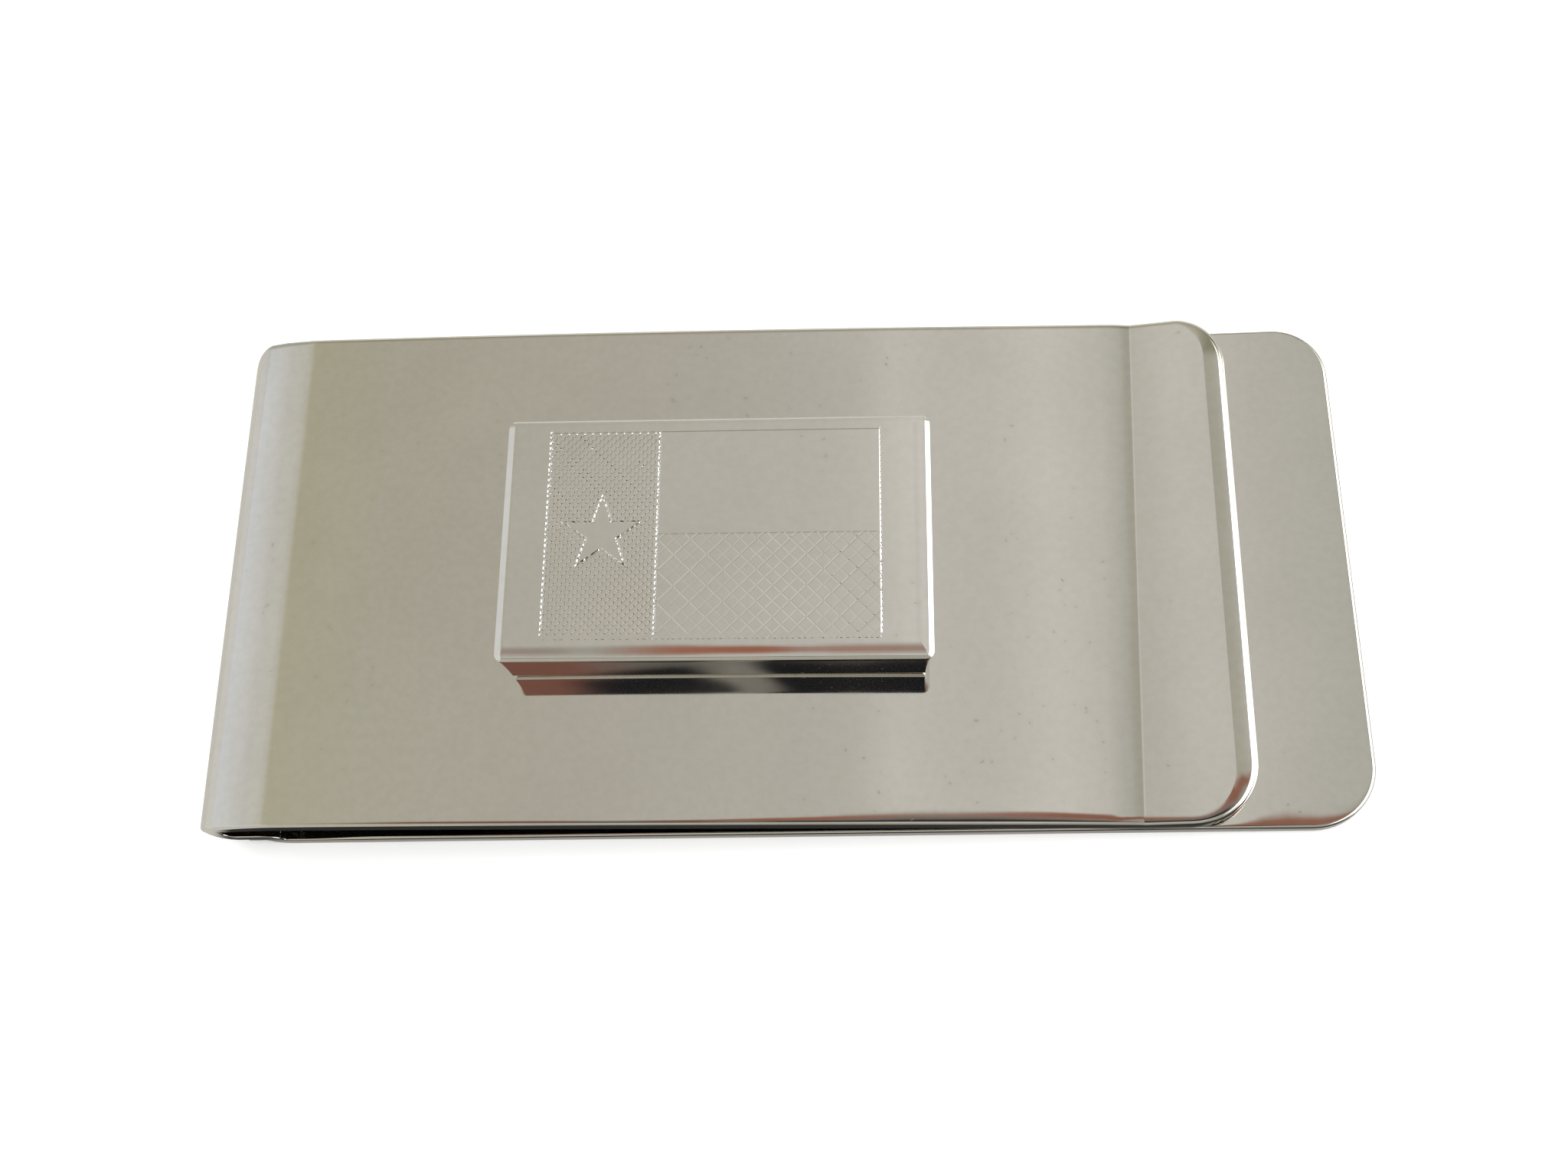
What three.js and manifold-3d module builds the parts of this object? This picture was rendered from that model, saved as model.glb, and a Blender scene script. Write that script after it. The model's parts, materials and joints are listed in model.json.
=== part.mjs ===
// Folded money clip with an engraved plaque, modelled in millimetres with +Z up.
// X runs along the clip from the fold (-X) to the open end (+X), Y runs across it.
// The origin is under the middle of the clip, on the plane that it rests on.

import * as THREE from 'three';
import { mergeVertices } from 'three/addons/utils/BufferGeometryUtils.js';
import Module from 'manifold-3d';

const wasm = await Module();
wasm.setup();

// Strip: one sheet folded in two.
const LENGTH = 52.0;
const WIDTH = 24.1;
const SHEET = 0.75;
const FOLD_X = -LENGTH / 2;
const SEAM_GAP = 0.02;

// Base leaf: flat, with a step up to the fold. Its free end is cut a little off square.
const STEP_START_X = FOLD_X + 2.4;
const STEP_END_X = FOLD_X + 3.5;
const STEP_RISE = 0.76;
const STEP_SEGMENTS = 8;
const BASE_END_X = LENGTH / 2;
const BASE_END_SKEW = 0.4;
const BASE_RADIUS_NEAR = 2.8;
const BASE_RADIUS_FAR = 2.4;

// Fold: a round bulb, then a long shoulder that rises to the hinge line.
const BULB_RADIUS = 1.33;
const BULB_SEGMENTS = 24;
const SHOULDER_STEEP = THREE.MathUtils.degToRad(10);
const SHOULDER_SHALLOW = THREE.MathUtils.degToRad(2);
const SHOULDER_SEGMENTS = 8;
const HINGE_X = FOLD_X + 3.5;

// Clamp leaf: slightly arched down to a crease, then a lip that flares up again.
const CREASE_START_X = FOLD_X + 41.4;
const CREASE_END_X = FOLD_X + 42.26;
const CREASE_START_Z = 1.7;
const CREASE_END_Z = 1.62;
const CREASE_SKEW_START = 0.042;
const CREASE_SKEW_END = 0.03;
const CREASE_SKEW_REACH = 3.0;
const LEAF_ARCH = 0.23;
const ARCH_SEGMENTS = 20;
const LIP_FLARE = THREE.MathUtils.degToRad(6.5);
const LIP_END_X = FOLD_X + 46.85;
const LIP_RADIUS_NEAR = 2.8;
const LIP_RADIUS_FAR = 2.3;

// Plaque: a solid block bonded on the clamp leaf.
const PLAQUE_X = FOLD_X + 23.5;
const PLAQUE_Y = 0.3;
const PLAQUE_LENGTH = 19.1;
const PLAQUE_WIDTH = 11.4;
const PLAQUE_HEIGHT = 2.75;
const PLAQUE_BEVEL_WIDTH = 0.3;
const PLAQUE_BEVEL_DEPTH = 0.18;
const PLAQUE_UNDERCUT_X = 0.33;
const PLAQUE_UNDERCUT_Y = 0.15;
const PLAQUE_CORNER_RADIUS = 0.35;
const UNDERCUT_SEGMENTS = 4;
const BOND_THICKNESS = 0.12;
const BOND_INSET = 0.6;
const BOND_GAP = 0.02;
const BOND_SEGMENTS = 8;

// Engraving on the plaque's face, measured from the plaque's middle.
const PANEL_LENGTH = 14.85;
const PANEL_WIDTH = 9.9;
const PANEL_X = -0.1;
const PANEL_Y = 0.12;
const BAND_SHARE = 1 / 3;
const STAR_POINTS = 5;
const STAR_RADIUS = 1.85;
const STAR_WAIST = 0.382;
const GROOVE_WIDTH = 0.15;
const GROOVE_DEPTH = 0.06;

// Cutting outlines reach well above and below the clip.
const CUTTER_HEIGHT = 20;
const CUTTER_MARGIN = 1;
const CORNER_SEGMENTS = 12;

const plate = { color: 0xb8b0a4, metalness: 1.0, roughness: 0.12 };
const MATERIALS = {
  base_leaf: new THREE.MeshStandardMaterial(plate),
  fold_bend: new THREE.MeshStandardMaterial(plate),
  clamp_leaf: new THREE.MeshStandardMaterial(plate),
  plaque: new THREE.MeshStandardMaterial({ ...plate, color: 0xbab3a8, roughness: 0.14 }),
  adhesive_layer: new THREE.MeshStandardMaterial({ color: 0xcfc9b8, metalness: 0.0, roughness: 0.45 }),
};

// ---- Solids and booleans ----

function toSolid(geometry) {
  const bare = geometry.clone();
  bare.deleteAttribute('normal');
  bare.deleteAttribute('uv');
  const merged = mergeVertices(bare, 1e-5);
  return new wasm.Manifold(new wasm.Mesh({
    numProp: 3,
    vertProperties: new Float32Array(merged.attributes.position.array),
    triVerts: new Uint32Array(merged.index.array),
  }));
}

function toGeometry(solid) {
  const mesh = solid.getMesh();
  const geometry = new THREE.BufferGeometry();
  geometry.setAttribute('position', new THREE.BufferAttribute(mesh.vertProperties, 3));
  geometry.setIndex(new THREE.BufferAttribute(mesh.triVerts, 1));
  geometry.computeVertexNormals();
  return geometry;
}

// A section drawn in the XZ plane, run along Y and centred on Y = 0.
function extrudeAcross(section, width) {
  const geometry = new THREE.ExtrudeGeometry(section, { depth: width, bevelEnabled: false });
  return geometry.rotateX(Math.PI / 2).translate(0, width / 2, 0);
}

// An outline drawn in the XY plane, run up through the height of the clip.
function extrudeUp(outline) {
  const options = { depth: CUTTER_HEIGHT, bevelEnabled: false, curveSegments: CORNER_SEGMENTS };
  return new THREE.ExtrudeGeometry(outline, options).translate(0, 0, -CUTTER_HEIGHT / 2);
}

// ---- Paths of the folded sheet; every path is the sheet's outer face ----

function pointOnArc(centre, radius, angle) {
  return new THREE.Vector2(
    centre.x + radius * Math.cos(angle),
    centre.y + radius * Math.sin(angle),
  );
}

function arcPath(centre, radius, from, to, segments) {
  const points = [];
  for (let i = 0; i <= segments; i += 1) {
    points.push(pointOnArc(centre, radius, from + ((to - from) * i) / segments));
  }
  return points;
}

function direction(from, to) {
  return to.clone().sub(from).normalize();
}

// The inner face of the sheet. The two ends are cut plumb.
function innerFace(path, side) {
  const last = path.length - 1;
  return path.map((point, i) => {
    const into = direction(path[Math.max(i - 1, 0)], path[Math.max(i, 1)]);
    const out = direction(path[Math.min(i, last - 1)], path[Math.min(i + 1, last)]);
    const along = into.clone().add(out).normalize();
    const normal = new THREE.Vector2(-along.y, along.x).multiplyScalar(side);
    if (i === 0 || i === last) {
      return new THREE.Vector2(point.x, point.y + SHEET / normal.y);
    }
    return point.clone().addScaledVector(normal, SHEET / along.dot(into));
  });
}

function sheetSection(path, side) {
  return new THREE.Shape([...path, ...innerFace(path, side).reverse()]);
}

function basePath() {
  const points = [];
  for (let i = 0; i <= STEP_SEGMENTS; i += 1) {
    const share = i / STEP_SEGMENTS;
    const x = STEP_START_X + (STEP_END_X - STEP_START_X) * share;
    points.push(new THREE.Vector2(x, STEP_RISE * (0.5 + 0.5 * Math.cos(Math.PI * share))));
  }
  points.push(new THREE.Vector2(BASE_END_X + CUTTER_MARGIN, 0));
  return points;
}

function shoulderRadius() {
  const run = HINGE_X - FOLD_X - BULB_RADIUS * (1 - Math.sin(SHOULDER_STEEP));
  return run / (Math.sin(SHOULDER_STEEP) - Math.sin(SHOULDER_SHALLOW));
}

function foldPath() {
  const quarter = Math.PI / 2;
  const centre = new THREE.Vector2(FOLD_X + BULB_RADIUS, STEP_RISE + BULB_RADIUS);
  const bulb = arcPath(centre, BULB_RADIUS, 3 * quarter, quarter + SHOULDER_STEEP, BULB_SEGMENTS);
  const crown = bulb[bulb.length - 1];
  const radius = shoulderRadius();
  const below = pointOnArc(crown, radius, -quarter + SHOULDER_STEEP);
  const shoulder = arcPath(
    below, radius, quarter + SHOULDER_STEEP, quarter + SHOULDER_SHALLOW, SHOULDER_SEGMENTS,
  );
  return [new THREE.Vector2(STEP_START_X - SEAM_GAP, STEP_RISE), ...bulb, ...shoulder.slice(1)];
}

const HINGE_Z = foldPath().pop().y;

function leafHeight(x) {
  const share = (x - HINGE_X) / (CREASE_START_X - HINGE_X);
  const chord = HINGE_Z + (CREASE_START_Z - HINGE_Z) * share;
  return chord + 4 * LEAF_ARCH * share * (1 - share);
}

function leafSlope(x) {
  const span = CREASE_START_X - HINGE_X;
  const share = (x - HINGE_X) / span;
  return Math.atan((CREASE_START_Z - HINGE_Z + 4 * LEAF_ARCH * (1 - 2 * share)) / span);
}

function clampPath() {
  const points = [];
  const start = HINGE_X + SEAM_GAP;
  for (let i = 0; i <= ARCH_SEGMENTS; i += 1) {
    const x = start + ((CREASE_START_X - start) * i) / ARCH_SEGMENTS;
    points.push(new THREE.Vector2(x, leafHeight(x)));
  }
  const lipRun = LIP_END_X + CUTTER_MARGIN - CREASE_END_X;
  points.push(new THREE.Vector2(CREASE_END_X, CREASE_END_Z));
  points.push(new THREE.Vector2(CREASE_END_X + lipRun, CREASE_END_Z + lipRun * Math.tan(LIP_FLARE)));
  return points;
}

// The crease runs slightly askew across the leaf: each end of it moves along X.
function skewCrease(geometry) {
  const stations = [
    [CREASE_START_X - CREASE_SKEW_REACH, 0],
    [CREASE_START_X, CREASE_SKEW_START],
    [CREASE_END_X, CREASE_SKEW_END],
    [CREASE_END_X + CREASE_SKEW_REACH, 0],
  ];
  const position = geometry.attributes.position;
  for (let i = 0; i < position.count; i += 1) {
    const x = position.getX(i);
    const after = stations.findIndex((station) => station[0] > x);
    if (after > 0) {
      const [x0, skew0] = stations[after - 1];
      const [x1, skew1] = stations[after];
      const skew = THREE.MathUtils.mapLinear(x, x0, x1, skew0, skew1);
      position.setX(i, x + skew * position.getY(i));
    }
  }
  return geometry;
}

// ---- Plan outline of a leaf: square at the fold, rounded at its free end ----

function leafOutline(startX, endX, skew, radiusNear, radiusFar) {
  const half = WIDTH / 2;
  const lean = Math.atan2(skew, WIDTH);
  const reachNear = radiusNear * Math.tan((Math.PI / 2 + lean) / 2);
  const reachFar = radiusFar * Math.tan((Math.PI / 2 - lean) / 2);
  const nearX = endX + reachNear - radiusNear;
  const farX = nearX - skew;
  const outline = new THREE.Shape();
  outline.moveTo(startX, -half);
  outline.lineTo(nearX - reachNear, -half);
  outline.absarc(nearX - reachNear, -half + radiusNear, radiusNear, -Math.PI / 2, lean, false);
  outline.absarc(farX - reachFar, half - radiusFar, radiusFar, lean, Math.PI / 2, false);
  outline.lineTo(startX, half);
  return outline;
}

// ---- The strip's three lengths ----

function makeBaseLeaf() {
  const sheet = toSolid(extrudeAcross(sheetSection(basePath(), 1), WIDTH));
  const outline = leafOutline(
    FOLD_X, BASE_END_X, BASE_END_SKEW, BASE_RADIUS_NEAR, BASE_RADIUS_FAR,
  );
  return toGeometry(sheet.intersect(toSolid(extrudeUp(outline))));
}

function makeFoldBend() {
  return extrudeAcross(sheetSection(foldPath(), -1), WIDTH);
}

function makeClampLeaf() {
  const sheet = toSolid(skewCrease(extrudeAcross(sheetSection(clampPath(), -1), WIDTH)));
  const outline = leafOutline(FOLD_X, LIP_END_X, 0, LIP_RADIUS_NEAR, LIP_RADIUS_FAR);
  return toGeometry(sheet.intersect(toSolid(extrudeUp(outline))));
}

// ---- Plaque ----

// Half of the block's section, from the middle of its underside up to the middle of its face.
function blockSection(span, undercut) {
  const half = span / 2;
  const shoulder = PLAQUE_HEIGHT - PLAQUE_BEVEL_DEPTH;
  const right = [];
  for (let i = 0; i <= UNDERCUT_SEGMENTS; i += 1) {
    const share = i / UNDERCUT_SEGMENTS;
    const inset = undercut * Math.cos((Math.PI / 2) * share);
    right.push(new THREE.Vector2(half - inset, shoulder * share));
  }
  right.push(new THREE.Vector2(half - PLAQUE_BEVEL_WIDTH, PLAQUE_HEIGHT));
  const left = right.map((point) => new THREE.Vector2(-point.x, point.y)).reverse();
  return new THREE.Shape([...right, ...left]);
}

function roundedRectangle(length, width, radius) {
  const x = length / 2;
  const y = width / 2;
  const outline = new THREE.Shape();
  outline.moveTo(-x + radius, -y);
  outline.absarc(x - radius, -y + radius, radius, -Math.PI / 2, 0, false);
  outline.absarc(x - radius, y - radius, radius, 0, Math.PI / 2, false);
  outline.absarc(-x + radius, y - radius, radius, Math.PI / 2, Math.PI, false);
  outline.absarc(-x + radius, -y + radius, radius, Math.PI, 1.5 * Math.PI, false);
  return outline;
}

// A three-sided bar whose lower edge is the bottom of an engraved line. The bar stands as far
// above the face as it reaches below it, so its top is twice as wide as the groove.
function grooveCutter(from, to) {
  const top = PLAQUE_HEIGHT + GROOVE_DEPTH;
  const section = new THREE.Shape([
    new THREE.Vector2(0, PLAQUE_HEIGHT - GROOVE_DEPTH),
    new THREE.Vector2(GROOVE_WIDTH, top),
    new THREE.Vector2(-GROOVE_WIDTH, top),
  ]);
  const reach = from.distanceTo(to) + GROOVE_WIDTH;
  const middle = from.clone().add(to).multiplyScalar(0.5);
  const turn = Math.atan2(to.y - from.y, to.x - from.x) - Math.PI / 2;
  const bar = extrudeAcross(section, reach);
  return toSolid(bar.rotateZ(turn).translate(middle.x, middle.y, 0));
}

function engravedLines() {
  const x0 = PANEL_X - PANEL_LENGTH / 2;
  const x1 = PANEL_X + PANEL_LENGTH / 2;
  const y0 = PANEL_Y - PANEL_WIDTH / 2;
  const y1 = PANEL_Y + PANEL_WIDTH / 2;
  const bandX = x0 + PANEL_LENGTH * BAND_SHARE;
  const corners = [[x0, y0], [x1, y0], [x1, y1], [x0, y1]].map(([x, y]) => new THREE.Vector2(x, y));
  const star = [];
  for (let i = 0; i < 2 * STAR_POINTS; i += 1) {
    const radius = i % 2 === 0 ? STAR_RADIUS : STAR_RADIUS * STAR_WAIST;
    const centre = new THREE.Vector2((x0 + bandX) / 2, PANEL_Y);
    star.push(pointOnArc(centre, radius, Math.PI / 2 + (Math.PI * i) / STAR_POINTS));
  }
  const loops = [corners, star];
  const lines = loops.flatMap((loop) => loop.map((point, i) => [point, loop[(i + 1) % loop.length]]));
  lines.push([new THREE.Vector2(bandX, y0), new THREE.Vector2(bandX, y1)]);
  lines.push([new THREE.Vector2(bandX, PANEL_Y), new THREE.Vector2(x1, PANEL_Y)]);
  return lines;
}

function onLeaf(geometry) {
  const lift = leafHeight(PLAQUE_X);
  return geometry.rotateY(-leafSlope(PLAQUE_X)).translate(PLAQUE_X, PLAQUE_Y, lift);
}

function makePlaque() {
  const along = extrudeAcross(blockSection(PLAQUE_LENGTH, PLAQUE_UNDERCUT_X), PLAQUE_WIDTH);
  const across = extrudeAcross(blockSection(PLAQUE_WIDTH, PLAQUE_UNDERCUT_Y), PLAQUE_LENGTH);
  const plan = extrudeUp(roundedRectangle(PLAQUE_LENGTH, PLAQUE_WIDTH, PLAQUE_CORNER_RADIUS));
  let block = toSolid(along).intersect(toSolid(across.rotateZ(Math.PI / 2))).intersect(toSolid(plan));
  for (const [from, to] of engravedLines()) {
    block = block.subtract(grooveCutter(from, to));
  }
  return onLeaf(toGeometry(block).translate(0, 0, BOND_THICKNESS));
}

// The bond fills the space between the arched leaf and the plaque's flat underside.
function makeAdhesiveLayer() {
  const slope = leafSlope(PLAQUE_X);
  const half = PLAQUE_LENGTH / 2 - BOND_INSET;
  const top = BOND_THICKNESS - BOND_GAP;
  const points = [new THREE.Vector2(half, top), new THREE.Vector2(-half, top)];
  for (let i = 0; i <= BOND_SEGMENTS; i += 1) {
    const x = -half + (2 * half * i) / BOND_SEGMENTS;
    const rise = leafHeight(PLAQUE_X + x * Math.cos(slope)) - leafHeight(PLAQUE_X);
    const sag = (rise - x * Math.sin(slope)) / Math.cos(slope);
    points.push(new THREE.Vector2(x, sag + BOND_GAP));
  }
  return onLeaf(extrudeAcross(new THREE.Shape(points), PLAQUE_WIDTH - 2 * BOND_INSET));
}

// ---- Assembly ----

const clip = new THREE.Group();
const MAKERS = {
  base_leaf: makeBaseLeaf,
  fold_bend: makeFoldBend,
  clamp_leaf: makeClampLeaf,
  plaque: makePlaque,
  adhesive_layer: makeAdhesiveLayer,
};
for (const [name, make] of Object.entries(MAKERS)) {
  const mesh = new THREE.Mesh(make(), MATERIALS[name]);
  mesh.name = name;
  clip.add(mesh);
}

export default clip;
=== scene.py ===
"""Money clip: the visual model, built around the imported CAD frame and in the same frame.

The frame is in metres. Lengths in this script are in millimetres unless a comment says otherwise,
and make_mesh() or MM turns them into metres. +X runs along the clip from the fold to the open end,
+Z is up, and the near side, toward the camera, is -Y.
"""

import json
import math

import bpy
import numpy as np
from mathutils import Matrix, Vector, geometry


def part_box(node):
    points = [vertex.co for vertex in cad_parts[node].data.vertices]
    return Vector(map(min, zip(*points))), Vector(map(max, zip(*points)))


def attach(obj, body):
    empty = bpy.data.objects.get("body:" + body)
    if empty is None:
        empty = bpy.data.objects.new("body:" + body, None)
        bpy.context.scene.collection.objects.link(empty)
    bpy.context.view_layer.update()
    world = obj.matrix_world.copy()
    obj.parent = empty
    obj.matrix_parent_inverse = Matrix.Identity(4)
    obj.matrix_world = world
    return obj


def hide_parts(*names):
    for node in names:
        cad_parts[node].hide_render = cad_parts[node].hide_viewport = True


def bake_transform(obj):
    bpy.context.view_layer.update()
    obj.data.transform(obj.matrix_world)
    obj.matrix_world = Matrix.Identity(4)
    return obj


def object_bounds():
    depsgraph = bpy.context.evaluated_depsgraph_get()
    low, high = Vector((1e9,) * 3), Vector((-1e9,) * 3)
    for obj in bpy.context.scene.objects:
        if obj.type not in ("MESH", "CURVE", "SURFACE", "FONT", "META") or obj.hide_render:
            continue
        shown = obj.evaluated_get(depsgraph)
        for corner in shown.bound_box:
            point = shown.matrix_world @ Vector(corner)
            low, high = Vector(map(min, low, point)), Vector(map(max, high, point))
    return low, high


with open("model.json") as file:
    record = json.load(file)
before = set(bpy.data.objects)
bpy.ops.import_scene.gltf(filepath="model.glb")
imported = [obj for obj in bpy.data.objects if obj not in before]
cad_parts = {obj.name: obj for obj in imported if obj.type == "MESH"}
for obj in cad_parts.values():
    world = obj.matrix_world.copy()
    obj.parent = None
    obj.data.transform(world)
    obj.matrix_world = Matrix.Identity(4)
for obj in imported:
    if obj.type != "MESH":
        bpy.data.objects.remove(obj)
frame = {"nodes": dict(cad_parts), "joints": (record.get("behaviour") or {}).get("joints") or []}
cad_low, cad_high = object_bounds()

MM = 0.001

# ---- Sizes ----


def box_mm(node):
    low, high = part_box(node)
    return np.array(low) / MM, np.array(high) / MM


base_low, base_high = box_mm("base_leaf")
fold_low, _ = box_mm("fold_bend")
_, clamp_high = box_mm("clamp_leaf")
plaque_low, plaque_high = box_mm("plaque")
bond_low, bond_high = box_mm("adhesive_layer")
joint = frame["joints"][0]
HINGE_X, _, HINGE_Z = (v / MM for v in joint["pos_m"])

# Strip
SHEET = 0.75
HALF_WIDTH = base_high[1]
FOLD_X = fold_low[0]
STEP_RISE = fold_low[2]
STEP_START_X = FOLD_X + 2.4
STEP_END_X = FOLD_X + 3.5
STEP_TIGHT_SHARE = 0.2
SEAM_X = FOLD_X + 1.7
BASE_END_X = base_high[0]
BASE_END_SKEW = 0.4
BASE_RADII = (2.8, 2.4)
BASE_TAPER = 0.3
BULB_RADIUS = 1.33
BULB_CORNER = 1.4
BULB_NEAR_SHARE = 0.08
SHOULDER_STEEP = math.radians(10)
SHOULDER_SHALLOW = math.radians(2)
HINGE_ROUNDING = 0.45
CREASE_START = (FOLD_X + 41.4, 1.70)
CREASE_END = (FOLD_X + 42.26, 1.62)
CREASE_LEAD = 0.6
CREASE_LEAD_TURN = math.radians(-1.8)
CREASE_STEEP = math.radians(-11)
CREASE_ROUNDING = 0.1
CREASE_SKEWS = (0.042, 0.03)
CREASE_SKEW_REACH = 3.0
LEAF_ARCH = 0.23
LIP_FLARE = math.radians(6.5)
LIP_END_X = clamp_high[0]
LIP_RADII = (2.8, 2.3)
LEAF_COLUMNS = 8
CORNER_STEPS = 14
CORNER_CLEARANCE = 0.3

# Edges of the strip. From the flat of a face, a short blend tips the surface over to the first
# lean, the roll carries it gently to the second, and a round turns it down to the cut edge.
# Rows are blend width, roll width, first lean, second lean (both in degrees) and round radius.
EDGE_NEAR = (0.02, 0.12, 0.0, 8.0, 0.2)
EDGE_NEAR_WORN = (0.02, 0.66, 0.0, 9.0, 0.26)
EDGE_FAR = (0.02, 0.15, 0.0, 6.0, 0.24)
EDGE_LIP = (0.1, 0.62, 16.0, 18.5, 0.44)
EDGE_INSIDE = (0.0, 0.01, 0.0, 5.0, 0.05)
EDGE_BASE = (0.0, 0.03, 0.0, 5.0, 0.13)
EDGE_BASE_CORNER = (0.02, 1.25, 0.0, 6.6, 0.16)
EDGE_BASE_END = (0.0, 0.03, 0.0, 5.0, 0.2)
# The near side is most worn at WORN_MIDDLE along the clip, and as crisp as new WORN_REACH from it.
WORN_MIDDLE = 9.0
WORN_REACH = 14.0
# The base leaf's near edge wears in over BASE_EDGE_FADE, from BASE_WORN_LEAD before the lip's end.
# Its upper edge is crisp at the step and wears in over BASE_EDGE_FADE, up to BASE_CRISP_PAST
# past it.
BASE_EDGE_FADE = 3.0
BASE_WORN_LEAD = 1.5
BASE_CRISP_PAST = 4.0
BLEND_STEPS = 2
ROLL_STEPS = 5
ROUND_STEPS = 7

# Plaque
PLAQUE_X = (bond_low[0] + bond_high[0]) / 2
PLAQUE_Y = (bond_low[1] + bond_high[1]) / 2
PLAQUE_LENGTH = 19.1
PLAQUE_WIDTH = plaque_high[1] - plaque_low[1]
PLAQUE_HEIGHT = 2.75
PLAQUE_CORNER = 0.35
# How far the hollow of the walls reaches in at the foot, at the ends and along the sides.
END_UNDERCUT = 0.33
SIDE_UNDERCUT = 0.08
WALL_STEPS = 8
FOOT_RADIUS = 0.18
FOOT_STEPS = 5
BOND_THICKNESS = 0.12
BEVELS = {"left": 0.32, "right": 0.24, "near": 0.13, "far": 0.14}
FACE_ROLL = {"left": 0.15, "right": 0.6, "near": 1.0, "far": 0.3}
# In degrees: how far the face's margin tilts, and how far each bevel leans.
FACE_TILT = {"left": 5.0, "right": 5.0, "near": 10.5, "far": 6.0}
BEVEL_LEAN = {"left": 26.0, "right": 38.0, "near": 40.0, "far": 34.0}
# How far the margin leans at each eighth of its roll, as a share of the tilt.
FACE_LEANS = (0.0, 0.25, 0.5, 0.72, 0.9, 1.0, 1.0, 0.9, 0.65)
BEVEL_ROUND = 0.05
PLAQUE_CORNER_STEPS = 6
# The plaque sits on the leaf, so its place along the path is sought past the fold.
PAST_FOLD = 4.0

# Engraving, measured from the plaque's middle
PANEL_LENGTH = 14.85
PANEL_WIDTH = 9.9
PANEL_MIDDLE = (-0.1, 0.12)
BAND_SHARE = 1 / 3
STAR_POINTS = 5
STAR_RADIUS = 1.85
STAR_WAIST = 0.382
LINE_HALF_WIDTH = 0.058
LINE_DEPTH = 0.046
FAINT_LINE_DEPTH = 0.012
BEAD_PITCH = 0.26
BEAD_SHARE = 0.55
BEAD_CUTS = 3
HATCH_HALF_WIDTH = 0.055
SHORTEST_HATCH = 3 * HATCH_HALF_WIDTH
# The two directions of the hatching in the band are cut to different depths.
BAND_HATCH_DEPTHS = {1: 0.0115, -1: 0.0085}
BAND_HATCH_PITCH = 0.36
FIELD_HATCH_DEPTH = 0.0125
FIELD_HATCH_PITCH = 0.73
# In the field every second line is this share of the depth.
HATCH_FAINT = 0.55
# Where the band's lines cross there is a pit, deepest at the panel's far side.
PIT_DEPTH = 0.03
PIT_NEAR_SHARE = 0.55
PIT_WEAR = 0.55
PIT_REACH = 0.9

# ---- Meshes ----


def make_mesh(name, points, faces, normals=None):
    """A smooth mesh object from points in millimetres. normals has one entry for each face corner."""
    mesh = bpy.data.meshes.new(name)
    mesh.from_pydata((np.asarray(points) * MM).tolist(), [], [list(map(int, f)) for f in faces])
    mesh.polygons.foreach_set("use_smooth", [True] * len(mesh.polygons))
    if normals is not None:
        mesh.normals_split_custom_set([Vector(n) for n in normals])
    mesh.update()
    obj = bpy.data.objects.new(name, mesh)
    bpy.context.scene.collection.objects.link(obj)
    return obj


def enclosed_volume(points, faces):
    """Six times the volume inside closed faces, positive if they face out."""
    total = 0.0
    for face in faces:
        a = points[face[0]]
        for b, c in zip(face[1:-1], face[2:]):
            total += float(np.dot(a, np.cross(points[b], points[c])))
    return total


# ---- The strip's line, seen from the side ----


class Path:
    """A line in the XZ plane made of arcs. It keeps a position, a heading and the length run."""

    TURN_STEP = math.radians(3)
    LONG_STEP = 1.0

    def __init__(self, x, z, heading):
        self.rows = [(0.0, x, z, heading)]

    def bend(self, length, heading):
        """Goes on for length, turning evenly to the new heading."""
        start = self.rows[-1][3]
        turns = math.ceil(abs(heading - start) / self.TURN_STEP)
        steps = max(turns, math.ceil(length / self.LONG_STEP), 1)
        for _ in range(steps):
            run, x, z, before = self.rows[-1]
            after = before + (heading - start) / steps
            middle = (before + after) / 2
            chord = length / steps
            if abs(after - before) > 1e-9:
                chord *= math.sin((after - before) / 2) / ((after - before) / 2)
            x += chord * math.cos(middle)
            z += chord * math.sin(middle)
            self.rows.append((run + length / steps, x, z, after))
        return self

    def at(self, run):
        """Position and heading at a length along the line, which goes on straight past its end."""
        table = np.array(self.rows)
        run = np.asarray(run, float)
        x, z, heading = (np.interp(run, table[:, 0], table[:, k]) for k in (1, 2, 3))
        past = np.maximum(run - table[-1, 0], 0)
        return x + past * np.cos(heading), z + past * np.sin(heading), heading

    def run_at_x(self, x, after=0.0):
        """The length run where the line passes x, past the length run given."""
        table = np.array([row for row in self.rows if row[0] >= after])
        return float(np.interp(x, table[:, 1], table[:, 0]))


def step_path():
    """The base leaf's underside, from the seam under the fold to the free end."""
    path = Path(SEAM_X, STEP_RISE, 0.0)
    path.bend(STEP_START_X - SEAM_X, 0.0)
    run = STEP_END_X - STEP_START_X
    steepest = -2 * math.atan(STEP_RISE / run)
    length = run * steepest / math.sin(steepest)
    path.bend(length * STEP_TIGHT_SHARE, steepest)
    path.bend(length * (1 - STEP_TIGHT_SHARE), 0.0)
    return path.bend(BASE_END_X - path.rows[-1][1], 0.0)


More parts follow.
